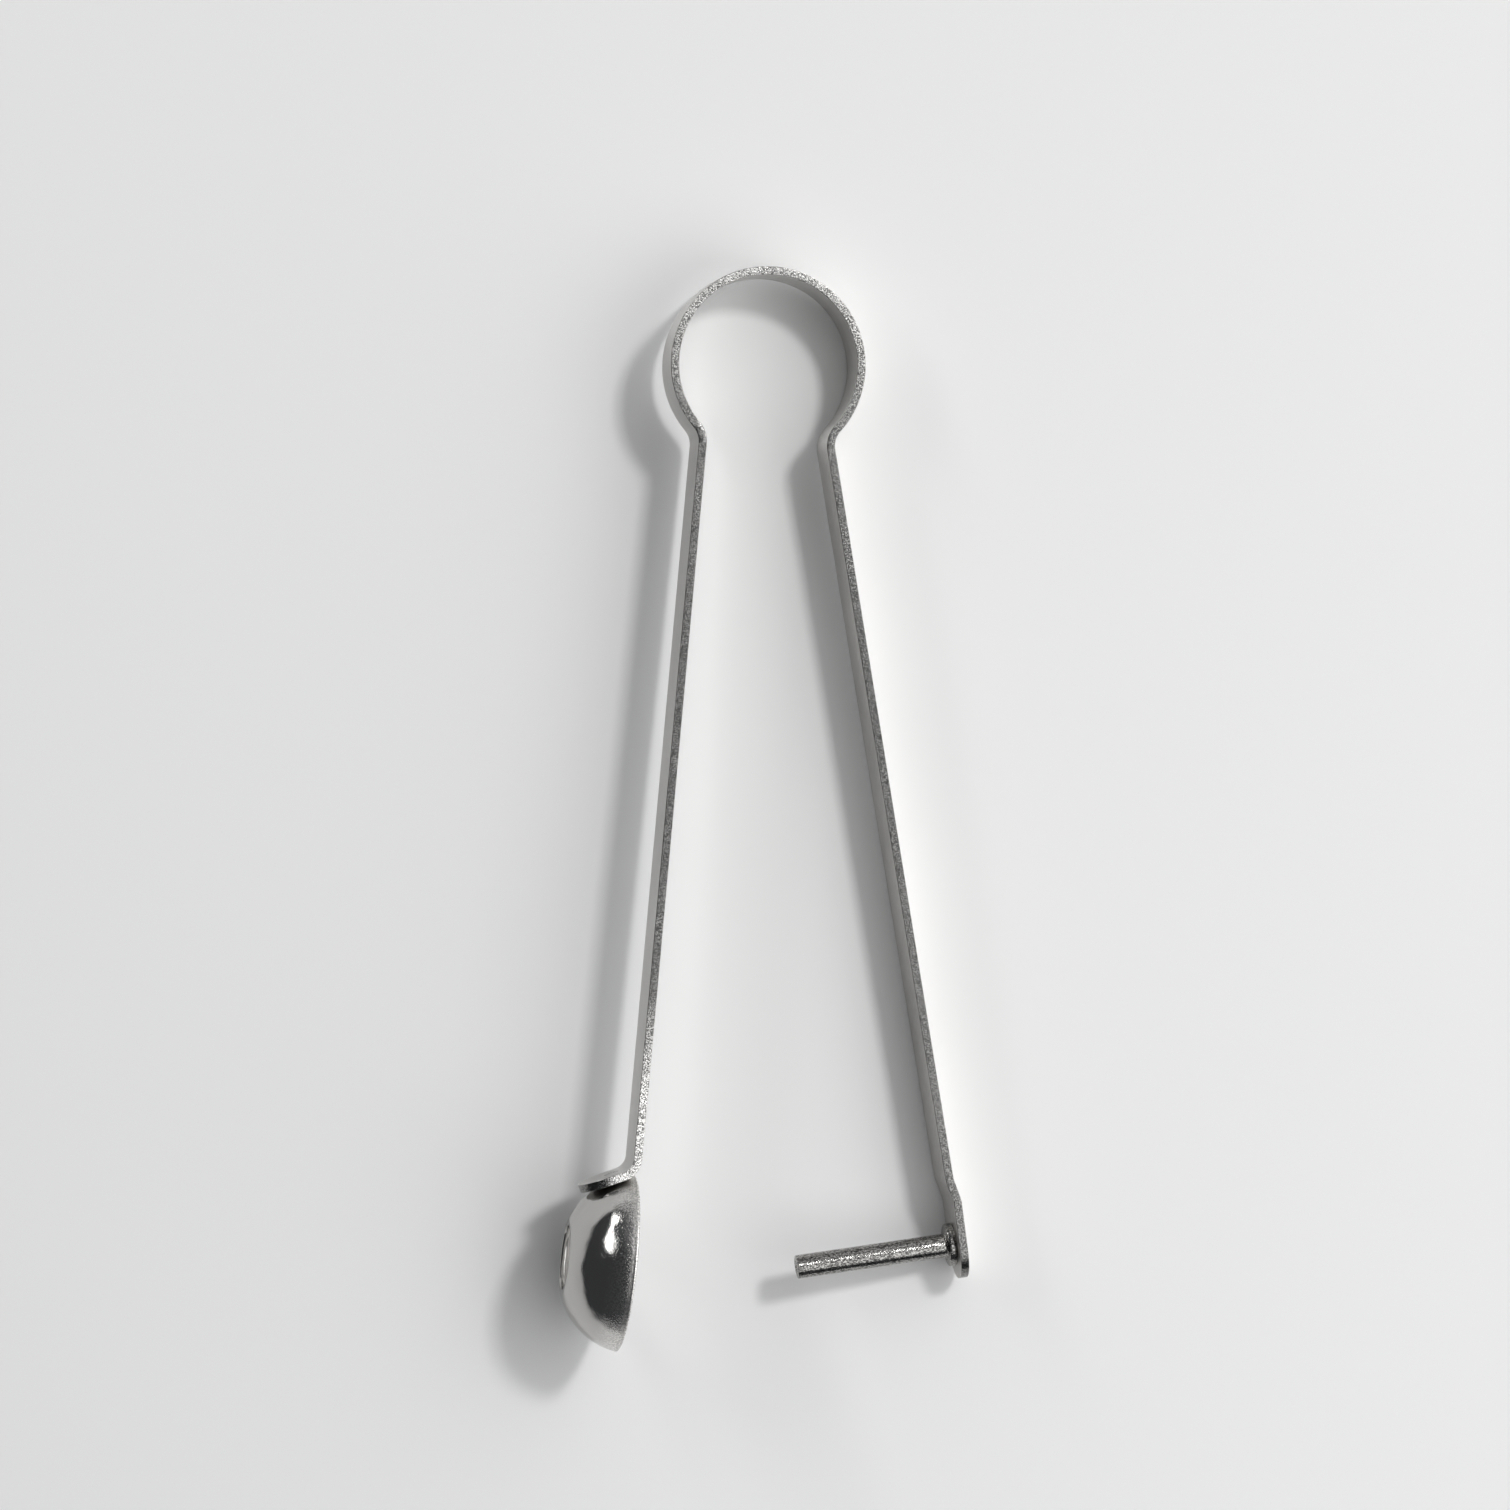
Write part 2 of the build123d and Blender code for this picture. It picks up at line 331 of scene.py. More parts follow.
def lines(s):
    """The corners, necks and holes of the strip at mid thickness, from its sizes."""
    line = {}
    line["cup_way"] = heading(-s.cup_leg_angle)
    line["cup_out"] = Vector((-cos(s.cup_leg_angle), sin(s.cup_leg_angle), 0))
    line["punch_way"] = heading(s.punch_leg_angle)
    line["punch_out"] = Vector((cos(s.punch_leg_angle), sin(s.punch_leg_angle), 0))
    line["cup_foot_way"] = heading(-s.cup_foot_angle)
    line["cup_foot_under"] = Vector((-line["cup_foot_way"].y, line["cup_foot_way"].x, 0))
    line["punch_foot_way"] = heading(s.punch_foot_angle)
    line["punch_foot_out"] = Vector((cos(s.punch_foot_angle), sin(s.punch_foot_angle), 0))
    line["cup_corner"] = line["cup_out"] * s.cup_leg_offset + line["cup_way"] * s.cup_leg_length
    line["cup_end"] = line["cup_corner"] + line["cup_foot_way"] * s.cup_foot_length
    line["joggle_start"] = (line["punch_out"] * s.punch_leg_offset
                            + line["punch_way"] * s.punch_leg_length)
    line["joggle_end"] = line["joggle_start"] + heading(s.joggle_angle) * s.joggle_length
    line["punch_end"] = line["joggle_end"] + line["punch_foot_way"] * s.punch_foot_length
    reach = s.loop_radius + s.neck_radius
    for arm in ("cup", "punch"):
        offset = getattr(s, arm + "_leg_offset") + s.neck_radius
        line[arm + "_neck"] = (line[arm + "_out"] * offset
                               + line[arm + "_way"] * sqrt(reach ** 2 - offset ** 2))
        line[arm + "_neck_end"] = line[arm + "_neck"] - line[arm + "_out"] * s.neck_radius
    line["rivet"] = line["cup_end"] - line["cup_foot_way"] * s.cup_hole_inset
    line["punch"] = line["punch_end"] - line["punch_foot_way"] * s.punch_hole_inset
    return line


def mouth_centre(strip, cup):
    """The middle and axis of the cup's mouth, and where the cup meets its foot.

    The mouth is that of the frame's cup, a sphere that touches the foot at the rivet.
    """
    line = lines(strip)
    axis = Vector((-cos(cup.tilt), sin(cup.tilt), 0))
    rim = cup.diameter / 2
    setback = (rim ** 2 - (cup.land / 2) ** 2 - cup.depth ** 2) / (2 * cup.depth)
    seat = line["rivet"] + line["cup_foot_under"] * (strip.thickness / 2)
    centre = seat + line["cup_foot_under"] * (hypot(rim, setback) - cup.seat_flat)
    return centre + axis * setback, axis, seat


# Materials

# Where a sheen is painted onto the cut edges as a highlight, in the tool's lines, from not at
# all to fully
PAINTED_SHEEN_UP_LOOP = (-0.014, 0.012)
PAINTED_SHEEN_DOWN_ARM = (-0.108, -0.125)
PAINTED_SHEEN_FROM_LEFT = (-0.030, -0.027)
PAINTED_SHEEN_FROM_RIGHT = (0.001, 0.0)

# Places of a Mix node's two colours among its inputs, and of the mixed one among its outputs
MIX_COLOURS, MIX_RESULT = (6, 7), 2


class Nodes:
    """A short way to lay out a material's nodes."""

    def __init__(self, name):
        self.material = bpy.data.materials.new(name)
        self.material.use_nodes = True
        self.tree = self.material.node_tree
        self.tree.nodes.clear()
        self.shader = self.add("ShaderNodeBsdfPrincipled")
        output = self.add("ShaderNodeOutputMaterial")
        self.link(self.shader.outputs[0], output.inputs[0])
        self.where = self.add("ShaderNodeTexCoord").outputs["Object"]

    def add(self, kind, **settings):
        node = self.tree.nodes.new(kind)
        for name, value in settings.items():
            if name in node.inputs:
                node.inputs[name].default_value = value
            else:
                setattr(node, name, value)
        return node

    def link(self, out, socket):
        self.tree.links.new(out, socket)

    def mapped(self, matrix=None, scale=(1, 1, 1)):
        """Object coordinates, turned into a piece's own lines and scaled."""
        out = self.where
        if matrix is not None:
            inverse = matrix.inverted()
            place = self.add("ShaderNodeMapping")
            place.inputs["Location"].default_value = inverse.to_translation()
            place.inputs["Rotation"].default_value = inverse.to_euler("XYZ")
            self.link(out, place.inputs["Vector"])
            out = place.outputs[0]
        size = self.add("ShaderNodeMapping")
        size.inputs["Scale"].default_value = scale
        self.link(out, size.inputs["Vector"])
        return size.outputs[0]

    def split(self, vector):
        """The X, Y and Z of a vector, by name."""
        node = self.add("ShaderNodeSeparateXYZ")
        self.link(vector, node.inputs[0])
        return node.outputs

    def noise(self, vector, scale, detail=2, rough=0.5):
        node = self.add("ShaderNodeTexNoise", Scale=scale, Detail=detail, Roughness=rough)
        self.link(vector, node.inputs["Vector"])
        return node.outputs["Fac"]

    def spread(self, value, low, high, to_low=0, to_high=1):
        """A value between low and high, carried over to between to_low and to_high."""
        node = self.add("ShaderNodeMapRange")
        for name, number in (("From Min", low), ("From Max", high), ("To Min", to_low),
                             ("To Max", to_high)):
            node.inputs[name].default_value = number
        self.link(value, node.inputs["Value"])
        return node.outputs[0]

    def maths(self, operation, first, second):
        node = self.add("ShaderNodeMath", operation=operation)
        for socket, value in zip(node.inputs, (first, second)):
            if isinstance(value, (int, float)):
                socket.default_value = value
            else:
                self.link(value, socket)
        return node.outputs[0]

    def mix(self, factor, first, second):
        """Two colours or outputs, mixed by a factor."""
        node = self.add("ShaderNodeMix", data_type="RGBA")
        self.link(factor, node.inputs["Factor"])
        for place, value in zip(MIX_COLOURS, (first, second)):
            if isinstance(value, (tuple, list)):
                node.inputs[place].default_value = value
            else:
                self.link(value, node.inputs[place])
        return node.outputs[MIX_RESULT]

    def bump(self, height, strength, distance, over=None):
        """A bump by itself, or on top of another one."""
        node = self.add("ShaderNodeBump", Strength=strength, Distance=distance)
        self.link(height, node.inputs["Height"])
        if over is not None:
            self.link(over, node.inputs["Normal"])
        return node.outputs[0]

    def metal(self, tint, rough, relief):
        """The finished material: a metal of this colour, roughness and bump."""
        self.link(tint, self.shader.inputs["Base Color"])
        self.link(rough, self.shader.inputs["Roughness"])
        self.link(relief, self.shader.inputs["Normal"])
        self.shader.inputs["Metallic"].default_value = 1
        return self.material


def shade(base, factor):
    return (*(min(1.0, c * factor) for c in base), 1.0)


def satin_nickel(finish):
    """Rolled strip under nickel: soft reflections, faint lengthwise rolling lines."""
    n = Nodes("satin nickel strip")
    tone = n.noise(n.mapped(TOOL), scale=55, detail=3)
    rolled = n.noise(n.mapped(TOOL, scale=(14, 14, 1500)), scale=1)
    pits = n.noise(n.mapped(), scale=3200, rough=0.6)
    tint = n.mix(n.spread(tone, 0.3, 0.7), shade(finish.strip, 0.9), shade(finish.strip, 1.1))
    rough = n.maths("ADD", n.spread(tone, 0.3, 0.7, finish.satin, finish.satin + 0.03),
                    n.spread(rolled, 0.35, 0.65, 0, 0.05))
    relief = n.bump(rolled, strength=0.4, distance=0.00002)
    relief = n.bump(pits, strength=0.15, distance=0.00002, over=relief)
    return n.metal(tint, rough, relief)


def cut_nickel(finish):
    """Sheared edge under nickel: grainy, with specks painted bright as glints, most on the loop
    and cup foot, where a highlight is painted; elsewhere the edges carry painted shade.
    """
    n = Nodes("sheared nickel edge")
    grain = n.noise(n.mapped(), scale=3900, rough=0.6)
    coarse = n.noise(n.mapped(), scale=900)
    tone = n.noise(n.mapped(), scale=90)
    place = n.split(n.mapped(TOOL))
    # Masks of the painted highlight: the top of the loop, and the cup foot
    loop = n.spread(place["Y"], *PAINTED_SHEEN_UP_LOOP, 0, 0.3)
    foot = n.maths("MULTIPLY", n.spread(place["Y"], *PAINTED_SHEEN_DOWN_ARM),
                   n.maths("MULTIPLY", n.spread(place["X"], *PAINTED_SHEEN_FROM_RIGHT),
                           n.spread(place["X"], *PAINTED_SHEEN_FROM_LEFT)))
    # Painted sheen: where the highlight is painted; it also roughens the edge and deepens its
    # grain
    painted_sheen = n.maths("MAXIMUM", loop, foot)
    specks = n.spread(grain, 0.42, 0.61)
    # Painted shade and painted highlight: a darkened and a brightened copy of the edge's colour,
    # each with its grain specks painted in as glints
    painted_shade_tint = n.mix(specks, shade(finish.cut, 0.14), shade(finish.cut, 0.5))
    bright = n.mix(specks, shade(finish.cut, 0.32), shade(finish.cut, 1.6))
    rough = n.maths("ADD", n.spread(specks, 0, 1, 0.16, 0.26),
                    n.maths("ADD", n.spread(tone, 0.35, 0.65, -0.02, 0.02),
                            n.maths("MULTIPLY", painted_sheen, 0.07)))
    height = n.maths("MULTIPLY", grain, n.maths("ADD", n.maths("MULTIPLY", painted_sheen, 0.6), 0.4))
    relief = n.bump(coarse, strength=0.4, distance=0.00005)
    relief = n.bump(height, strength=1, distance=0.00006, over=relief)
    return n.metal(n.mix(painted_sheen, painted_shade_tint, bright), rough, relief)


def polished_nickel(finish, mouth):
    """Tumbled and polished cup: a clear dark mirror, with fine grain towards the rim, whose
    specks are painted brighter as glints.
    """
    n = Nodes("polished nickel cup")
    ripple = n.noise(n.mapped(), scale=230, detail=1)
    grain = n.noise(n.mapped(), scale=3300, rough=0.6)
    cloud = n.noise(n.mapped(), scale=120)
    rim = n.spread(n.split(n.mapped(mouth))["Z"], 0, RIM_GRAIN_AND_GLINTS, 1, 0)
    # Painted glints: grain specks near the rim, up to 1.7 times as bright as the cup's own
    # colour
    tint = n.mix(n.maths("MULTIPLY", n.spread(grain, 0.4, 0.6), rim),
                 shade(finish.cup, 0.85), shade(finish.cup, 1.7))
    rough = n.maths("ADD", n.spread(cloud, 0.3, 0.7, finish.polish - 0.02, finish.polish + 0.03),
                    n.maths("MULTIPLY", n.maths("MULTIPLY", rim, rim), 0.3))
    relief = n.bump(ripple, strength=0.4, distance=0.0006)
    relief = n.bump(n.maths("MULTIPLY", grain, n.maths("ADD", rim, 0.2)), strength=1,
                    distance=0.00008, over=relief)
    return n.metal(tint, rough, relief)


def turned_nickel(finish, place):
    """Turned pin under nickel: fine rings, and fine grain that breaks up its glints."""
    n = Nodes("turned nickel punch")
    rings = n.noise(n.mapped(place, scale=(60, 60, 5200)), scale=1)
    scratches = n.noise(n.mapped(place, scale=(4300, 4300, 2300)), scale=1, rough=0.6)
    grain = n.noise(n.mapped(), scale=4200, rough=0.6)
    tone = n.noise(n.mapped(), scale=190)
    tint = n.mix(n.spread(scratches, 0.42, 0.61),
                 shade(finish.punch, 0.17), shade(finish.punch, 0.85))
    rough = n.maths("ADD", n.spread(rings, 0.3, 0.7, 0.09, 0.15),
                    n.spread(tone, 0.3, 0.7, 0, 0.05))
    relief = n.bump(rings, strength=0.5, distance=0.00004)
    relief = n.bump(scratches, strength=0.3, distance=0.00003, over=relief)
    relief = n.bump(grain, strength=0.7, distance=0.00004, over=relief)
    return n.metal(tint, rough, relief)


# Operators

class PITTER_OT_strip(bpy.types.Operator):
    """Bends the whole spring strip: cup foot, cup arm, loop, punch arm and punch foot"""
    bl_idname = "pitter.strip"
    bl_label = "Spring Strip"

    def run(self, move):
        bpy.ops.mesh.extrude_region_move(TRANSFORM_OT_translate={"value": move})

    def bend(self, centre, turn, steps):
        """Carries the section round a centre, to the left for a positive turn."""
        bpy.ops.mesh.spin(steps=steps, dupli=False, angle=-turn, center=centre, axis=ACROSS,
                          use_auto_merge=False)

    def corner(self, before, corner, after, radius):
        """Where a bend begins and ends at a corner, its centre, and how far it turns."""
        into, out = (corner - before).normalized(), (after - corner).normalized()
        turn = into.angle(out)
        left = 1 if into.cross(out).z > 0 else -1
        tangent = radius * sin(turn / 2) / cos(turn / 2)
        begin = corner - into * tangent
        centre = begin + ACROSS.cross(into) * left * radius
        return begin, corner + out * tangent, centre, turn * left

    def follow(self, points, radius, steps):
        """Carries the section along points, with the same bend at each one between."""
        here = points[0]
        for before, corner, after in zip(points, points[1:], points[2:]):
            begin, end, centre, turn = self.corner(before, corner, after, radius)
            self.run(begin - here)
            self.bend(centre, turn, steps)
            here = end
        self.run(points[-1] - here)

    def bent_strip(self, sizes, line):
        """The strip from the cup foot's end to the punch foot's, still with square ends."""
        start()
        bpy.ops.mesh.primitive_plane_add(size=1)
        strip = bpy.context.object
        strip.name = strip.data.name = "spring_strip"
        way = -line["cup_foot_way"]
        section = Matrix((way.cross(ACROSS) * sizes.thickness, ACROSS * sizes.width, way))
        settle(strip, Matrix.Translation(line["cup_end"]) @ section.transposed().to_4x4())

        touch, neck_turn = {}, {}
        for arm in ("cup", "punch"):
            neck = line[arm + "_neck"]
            touch[arm] = neck.normalized() * sizes.loop_radius
            neck_turn[arm] = (line[arm + "_neck_end"] - neck).angle(touch[arm] - neck)
        round_loop = 2 * pi - touch["cup"].angle(touch["punch"])

        edit("FACE")
        bpy.ops.mesh.select_all(action="SELECT")
        self.follow([line["cup_end"], line["cup_corner"], line["cup_neck_end"]],
                    sizes.cup_foot_bend, FOOT_STEPS)
        self.bend(line["cup_neck"], neck_turn["cup"], NECK_STEPS)
        self.bend(Vector((0, 0, 0)), -round_loop, LOOP_STEPS)
        self.bend(line["punch_neck"], neck_turn["punch"], NECK_STEPS)
        self.follow([line["punch_neck_end"], line["joggle_start"], line["joggle_end"],
                     line["punch_end"]], sizes.joggle_bend, JOGGLE_STEPS)
        clean_up()
        return strip

    def round_end(self, strip, end, out, sizes):
        """Rounds the two corners of one end of the strip, in edit mode."""
        ahead = out.cross(ACROSS)

        def at_corner(edge):
            ends = [vertex.co - end for vertex in edge.verts]
            near = all(p.length < sizes.width and abs(p.dot(ahead)) < IN_PLANE for p in ends)
            return near and abs((ends[0] - ends[1]).normalized().dot(out)) > ALONG

        choose_edges(strip, at_corner)
        bpy.ops.mesh.bevel(offset=(sizes.width - sizes.end_flat) / 2, segments=END_STEPS,
                           affect="EDGES", profile=0.5, clamp_overlap=False)

    def countersink(self, strip, point, into, wide, narrow, thickness):
        """Drills a countersunk hole, open towards the side that the point is on."""
        drill = turned("countersink", [(-DRILL_MARGIN, wide + DRILL_MARGIN),
                                       (wide - narrow, narrow),
                                       (thickness + DRILL_MARGIN, narrow)], RIVET_SIDES)
        settle(drill, on_tool(point, into))
        cut_away(strip, drill)

    def mark_cut_edges(self, strip, line, width):
        """Gives the sheared edges and the round ends the second material."""
        turn = TOOL.to_3x3()
        across = turn @ ACROSS
        ends = [(TOOL @ line["cup_end"], turn @ line["cup_foot_under"]),
                (TOOL @ line["punch_end"], turn @ line["punch_foot_out"])]
        holes = [TOOL @ line["rivet"], TOOL @ line["punch"]]
        faces_across, faces_out, end_reach = 0.75, 0.6, 0.6 * width
        for face in strip.data.polygons:
            cut = abs(face.normal.dot(across)) > faces_across
            in_hole = min((face.center - hole).length for hole in holes) <= HOLE_REACH
            for end, out in ends:
                at_end = (face.center - end).length < end_reach
                cut = cut or (at_end and abs(face.normal.dot(out)) < faces_out and not in_hole)
            face.material_index = 1 if cut else 0

    def execute(self, context):
        scene = context.scene
        sizes, cup, pin = scene.pitter_strip, scene.pitter_cup, scene.pitter_punch
        line, half = lines(sizes), sizes.thickness / 2
        under, out = line["cup_foot_under"], line["punch_foot_out"]
        strip = self.bent_strip(sizes, line)
        self.round_end(strip, line["cup_end"], under, sizes)
        self.round_end(strip, line["punch_end"], out, sizes)
        bpy.ops.object.mode_set(mode="OBJECT")
        settle(strip, TOOL)
        self.countersink(strip, line["rivet"] - under * half, under,
                         cup.rivet_tail / 2, cup.rivet / 2, sizes.thickness)
        self.countersink(strip, line["punch"] + out * half, -out,
                         pin.tail / 2, pin.tang / 2, sizes.thickness)
        apply_modifier(strip, "BEVEL", width=sizes.edge, segments=EDGE_STEPS,
                       limit_method="ANGLE", angle_limit=radians(50), use_clamp_overlap=False)
        dress(strip, satin_nickel(scene.pitter_finish), cut_nickel(scene.pitter_finish))
        self.mark_cut_edges(strip, line, sizes.width)
        smooth(strip, 35)
        apply_modifier(strip, "WEIGHTED_NORMAL", keep_sharp=True)
        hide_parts("cup_arm", "spring_loop", "punch_arm")
        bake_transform(strip)
        return {"FINISHED"}


class PITTER_OT_cup(bpy.types.Operator):
    """Draws the cup with its pit hole and sets it under the foot"""
    bl_idname = "pitter.cup"
    bl_label = "Cup"

    def profile(self, cup):
        """Once round the wall, as (depth, radius) steps: over the rim, to the hole and back."""
        rim, hole = cup.diameter / 2, cup.hole / 2
        lip, bead = cup.wall * 0.35, cup.wall * 0.2
        in_front = 0.0016    # how far the shoulder's centre lies in front of the mouth
        offset = rim - sqrt(cup.shoulder ** 2 - in_front ** 2)

        def drawn(radius, depth):
            first, last = asin(in_front / radius), asin((depth + in_front) / radius)
            turns = [first + (last - first) * k / WALL_STEPS for k in range(WALL_STEPS + 1)]
            return [(radius * sin(a) - in_front, offset + radius * cos(a)) for a in turns]

        outer = drawn(cup.shoulder, cup.depth)
        inner = drawn(cup.shoulder - cup.wall, cup.depth - cup.wall)
        inner_rim = inner[0][1]
        outer_lip = [(lip * (1 - sin(a)), rim - lip * (1 - cos(a))) for a in QUARTER]
        inner_lip = [(lip * (1 - cos(a)), inner_rim + lip * (1 - sin(a))) for a in QUARTER]
        outer, inner = ([step for step in wall if step[0] > lip] for wall in (outer, inner))
        pit = (eased((cup.depth, hole), (0, bead), (-bead, 0))
               + eased((cup.depth - cup.wall, hole), (bead, 0), (0, bead)))
        return outer_lip[::-1] + outer + pit + inner[::-1] + inner_lip[::-1]

    def press_flat(self, bowl, seat, size):
        """Takes off what stands past the face that the cup is riveted to."""
        start()
        bpy.ops.mesh.primitive_cube_add(size=size, location=(0, 0, -size / 2))
        block = bpy.context.object
        settle(block, seat @ block.matrix_world)
        cut_away(bowl, block)

    def execute(self, context):
        strip, cup = context.scene.pitter_strip, context.scene.pitter_cup
        mouth, axis, seat = mouth_centre(strip, cup)
        bowl = turned("drawn_cup", self.profile(cup), CUP_SIDES, closed=True)
        edit("EDGE")
        choose_edges(bowl, lambda edge: edge.is_boundary)
        bpy.ops.mesh.bridge_edge_loops()
        clean_up()
        bpy.ops.object.mode_set(mode="OBJECT")
        place = on_tool(mouth, axis)
        settle(bowl, place)
        self.press_flat(bowl, on_tool(seat, lines(strip)["cup_foot_under"]), cup.diameter)
        smooth(bowl, 40)
        dress(bowl, polished_nickel(context.scene.pitter_finish, place))
        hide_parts("cup")
        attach(bowl, "cup_side")
        return {"FINISHED"}


class PITTER_OT_rivet(bpy.types.Operator):
    """Sets the rivet that holds the cup, with its low head inside the cup"""
    bl_idname = "pitter.rivet"
    bl_label = "Cup Rivet"

    def profile(self, thickness, cup):
        """From the flush tail in the strip to the head, as (height, radius) steps."""
        shank, head = cup.rivet / 2, cup.rivet_head / 2
        tail = cup.rivet_tail / 2 - TAIL_GAP
        cone, bedded, proud, edge = 0.0003, 0.0003, 0.0006, 0.0001
        dome, drawn_in = 0.0004, 0.45
        under = thickness + cup.wall - bedded
        top = thickness + cup.wall + proud
        return (flush_tail(tail, flat=0.6, edge=0.00016)
                + [(cone, shank), (under, shank), (under, head - edge)]
                + [(top - dome + dome * sin(a), head * (1 - drawn_in * (1 - cos(a))))
                   for a in QUARTER])

    def execute(self, context):
        strip, cup = context.scene.pitter_strip, context.scene.pitter_cup
        line = lines(strip)
        under = line["cup_foot_under"]
        rivet = turned("cup_rivet_pin", self.profile(strip.thickness, cup), RIVET_SIDES)
        settle(rivet, on_tool(line["rivet"] - under * (strip.thickness / 2), under))
        smooth(rivet, 35)
        apply_modifier(rivet, "WEIGHTED_NORMAL", keep_sharp=True)
        dress(rivet, turned_nickel(context.scene.pitter_finish, on_tool(line["rivet"], under)))
        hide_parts("cup_rivet")
        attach(rivet, "cup_side")
        return {"FINISHED"}


class PITTER_OT_punch(bpy.types.Operator):
    """Turns the punch with its collar and rivets it flush into its foot"""
    bl_idname = "pitter.punch"
    bl_label = "Punch"

    def profile(self, thickness, pin):
        """From the flush tail to the dished tip, as (height, radius) steps."""
        rod, collar, tang = pin.diameter / 2, pin.collar / 2, pin.tang / 2
        tail, dish = pin.tail / 2 - TAIL_GAP, pin.dish / 2
        face = thickness + pin.collar_height
        tip = face + pin.reach
        soft, root, hollow = 0.00018, 0.0004, 0.00045
        wide = soft * 1.6
        return (flush_tail(tail, flat=0.5, edge=soft)
                + [(tail - tang, tang), (thickness, tang)]
                + eased((thickness, collar), (0, -soft), (soft, 0))
                + eased((face, collar), (-wide, 0), (0, -wide), middle=0.5 / 1.6)
                + [(face + root * (1 - sin(a)), rod + root * (1 - cos(a)))
                   for a in reversed(QUARTER)]
                + eased((tip, rod), (-soft, 0), (0, -soft))
                + [(tip, dish + soft * 0.5), (tip - soft * 0.4, dish - soft * 0.2),
                   (tip - hollow, dish * 0.15)])

    def execute(self, context):
        strip, pin = context.scene.pitter_strip, context.scene.pitter_punch
        line = lines(strip)
        out = line["punch_foot_out"]
        punch = turned("punch_pin", self.profile(strip.thickness, pin), pin.sides)
        place = on_tool(line["punch"] + out * (strip.thickness / 2), -out)
        settle(punch, place)
        smooth(punch, 35)
        apply_modifier(punch, "WEIGHTED_NORMAL", keep_sharp=True)
        dress(punch, turned_nickel(context.scene.pitter_finish, place))
        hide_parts("punch")
        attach(punch, "punch_side")
        return {"FINISHED"}


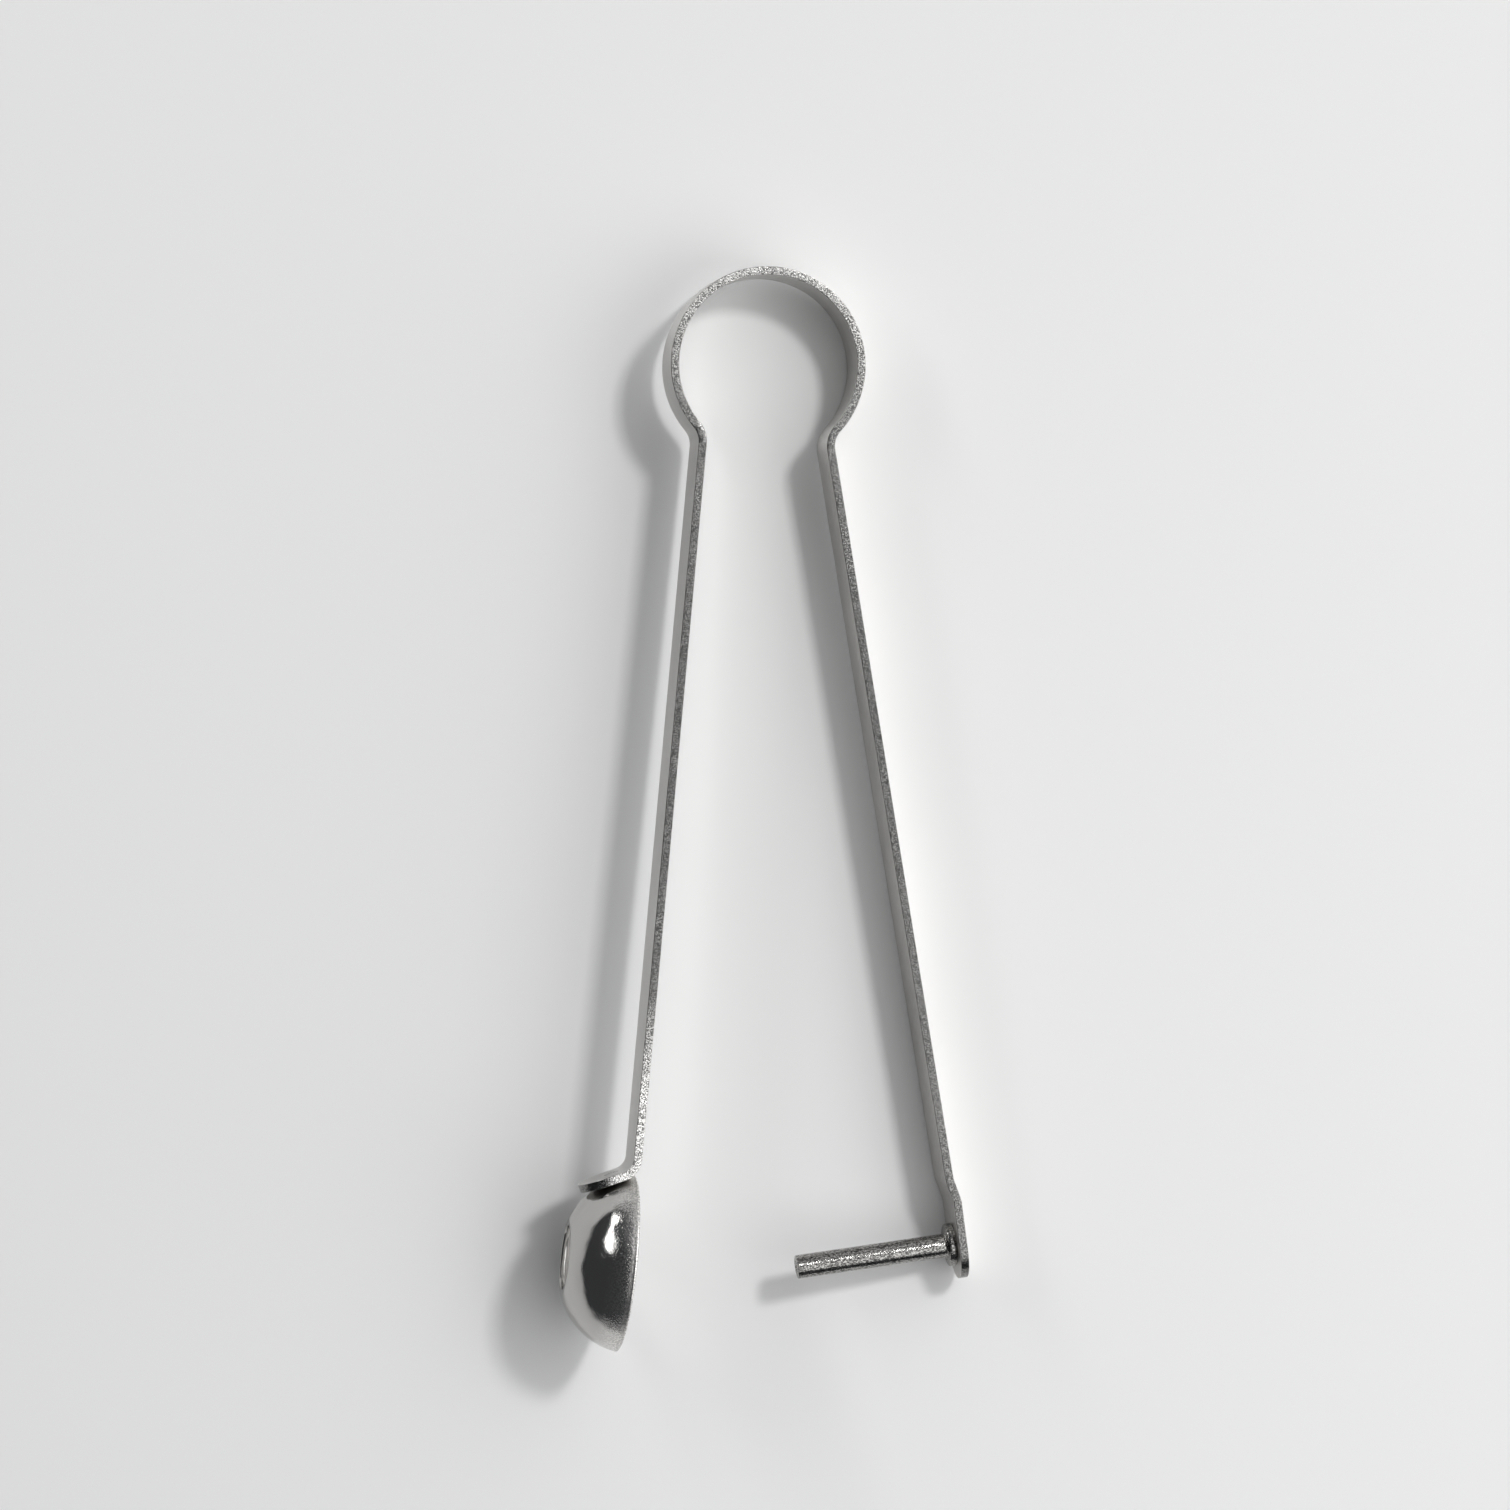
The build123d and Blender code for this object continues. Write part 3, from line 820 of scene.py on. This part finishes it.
class PITTER_OT_stage(bpy.types.Operator):
    """Lays the table and sets up the lamps, the sky and the camera"""
    bl_idname = "pitter.stage"
    bl_label = "Stage"

    # The middle of the picture in the tool's lines, and the camera's film in millimetres
    MIDDLE = Vector((-0.00153, -0.0672, 0))
    FILM = 36

    # The panels' middle in x, their height above the tool and their width, in metres
    PANEL_X, PANEL_HEIGHT, PANEL_WIDTH = 0.635, 0.7, 1.13

    # The way to the reflector, and the room's colours from away from it to towards it
    REFLECTOR = (0.9, 0.4, 0.1)
    DARK = (0.1, (0.06, 0.062, 0.065, 1))
    MEDIUM = (0.35, (0.17, 0.17, 0.175, 1))
    BRIGHT = 0.75

    def lamp(self, name, centre, way, distance, size, energy, upright=None):
        """An area lamp that faces the centre with its long side upright, or else faces down."""
        z = way.normalized()
        turn = Matrix.Identity(3)
        if upright is not None:
            x = upright.cross(z).normalized()
            turn = Matrix((x, z.cross(x), z)).transposed()
        start()
        bpy.ops.object.light_add(type="AREA", location=centre + z * distance)
        lamp = bpy.context.object
        lamp.name = name
        lamp.rotation_euler = turn.to_euler()
        lamp.data.shape = "RECTANGLE"
        lamp.data.size, lamp.data.size_y = size
        lamp.data.energy = energy

    def lamps(self, stage, centre):
        """A key light, a tall strip light, and two wide panels with a gap between them."""
        self.lamp("key", centre, way=Vector((0.47, 0.38, 0.795)), distance=2.4,
                  size=(0.30, 0.30), energy=stage.key, upright=Vector((0, 1, 0)))
        self.lamp("strip light", centre, way=Vector((-0.657, 0.602, 0.455)), distance=0.95,
                  size=(0.09, 0.76), energy=stage.window,
                  upright=Vector((0.272, 0.751, -0.602)))
        for name, near, far, share in (("back panel", 0.10, 0.36, 0.36),
                                       ("front panel", -0.83, -0.03, 1.36)):
            spot = Vector((self.PANEL_X, (near + far) / 2 - centre.y, self.PANEL_HEIGHT))
            self.lamp(name, centre, way=spot, distance=spot.length,
                      size=(self.PANEL_WIDTH, far - near), energy=stage.panels * share)

    def table(self, stage):
        start()
        bpy.ops.mesh.primitive_plane_add(size=8, location=(0, 0, -TABLE_DROP))
        table = bpy.context.object
        table.name = "table"
        n = Nodes("pale table")
        n.shader.inputs["Base Color"].default_value = (*stage.floor, 1)
        n.shader.inputs["Roughness"].default_value = 0.65
        n.shader.inputs["Specular IOR Level"].default_value = 0.25
        dress(table, n.material)

    def camera(self, context, stage, centre):
        """A long lens over the middle of the picture, a little to the left."""
        look = Vector((-sin(stage.view_turn), 0, cos(stage.view_turn)))
        right = Vector((cos(stage.view_turn), 0, sin(stage.view_turn)))
        turn = TOOL.to_3x3()
        distance = stage.seen * stage.lens / self.FILM
        bpy.ops.object.camera_add(location=centre + turn @ look * distance)
        camera = context.object
        camera.name = "camera"
        camera.rotation_euler = (turn @ Matrix(
            (right, Vector((0, 1, 0)), look)).transposed()).to_euler()
        camera.data.lens = stage.lens
        camera.data.sensor_width = self.FILM
        context.scene.camera = camera

    def sky(self, context, stage):
        """A dark room with a large pale reflector on its right and beyond the loop."""
        world = bpy.data.worlds.new("studio")
        context.scene.world = world
        world.use_nodes = True
        tree = world.node_tree
        back = tree.nodes["Background"]
        where = tree.nodes.new("ShaderNodeTexCoord")
        side = tree.nodes.new("ShaderNodeVectorMath")
        side.operation = "DOT_PRODUCT"
        side.inputs[1].default_value = self.REFLECTOR
        ramp = tree.nodes.new("ShaderNodeValToRGB")
        tree.links.new(where.outputs["Generated"], side.inputs[0])
        tree.links.new(side.outputs["Value"], ramp.inputs[0])
        tree.links.new(ramp.outputs[0], back.inputs["Color"])
        steps = ramp.color_ramp.elements
        steps[0].position, steps[0].color = self.DARK
        steps[1].position = self.BRIGHT
        steps[1].color = (stage.sky, stage.sky, stage.sky * 1.01, 1)
        steps.new(self.MEDIUM[0]).color = self.MEDIUM[1]

    def execute(self, context):
        stage = context.scene.pitter_stage
        centre = TOOL @ self.MIDDLE
        self.table(stage)
        self.camera(context, stage, centre)
        self.lamps(stage, centre)
        self.sky(context, stage)
        context.scene.view_settings.view_transform = "Standard"
        return {"FINISHED"}


class PITTER_PT_panel(bpy.types.Panel):
    """Buttons and sizes of the cherry pitter"""
    bl_idname = "PITTER_PT_panel"
    bl_label = "Cherry Pitter"
    bl_space_type = "VIEW_3D"
    bl_region_type = "UI"
    bl_category = "Pitter"

    def draw(self, context):
        for operator in OPERATORS:
            self.layout.operator(operator.bl_idname)
        for name in GROUPS:
            group = getattr(context.scene, name)
            box = self.layout.box()
            for setting in group.__annotations__:
                box.prop(group, setting)


GROUPS = {"pitter_strip": PitterStrip, "pitter_cup": PitterCup, "pitter_punch": PitterPunch,
          "pitter_finish": PitterFinish, "pitter_stage": PitterStage}
OPERATORS = (PITTER_OT_strip, PITTER_OT_cup, PITTER_OT_rivet, PITTER_OT_punch, PITTER_OT_stage)


def register():
    for cls in (*GROUPS.values(), *OPERATORS, PITTER_PT_panel):
        bpy.utils.register_class(cls)
    for name, cls in GROUPS.items():
        setattr(bpy.types.Scene, name, PointerProperty(type=cls))


def unregister():
    for name in GROUPS:
        delattr(bpy.types.Scene, name)
    for cls in reversed((*GROUPS.values(), *OPERATORS, PITTER_PT_panel)):
        bpy.utils.unregister_class(cls)


def main():
    register()
    bpy.ops.pitter.strip()
    bpy.ops.pitter.cup()
    bpy.ops.pitter.rivet()
    bpy.ops.pitter.punch()
    bpy.ops.pitter.stage()


if __name__ == "__main__":
    main()
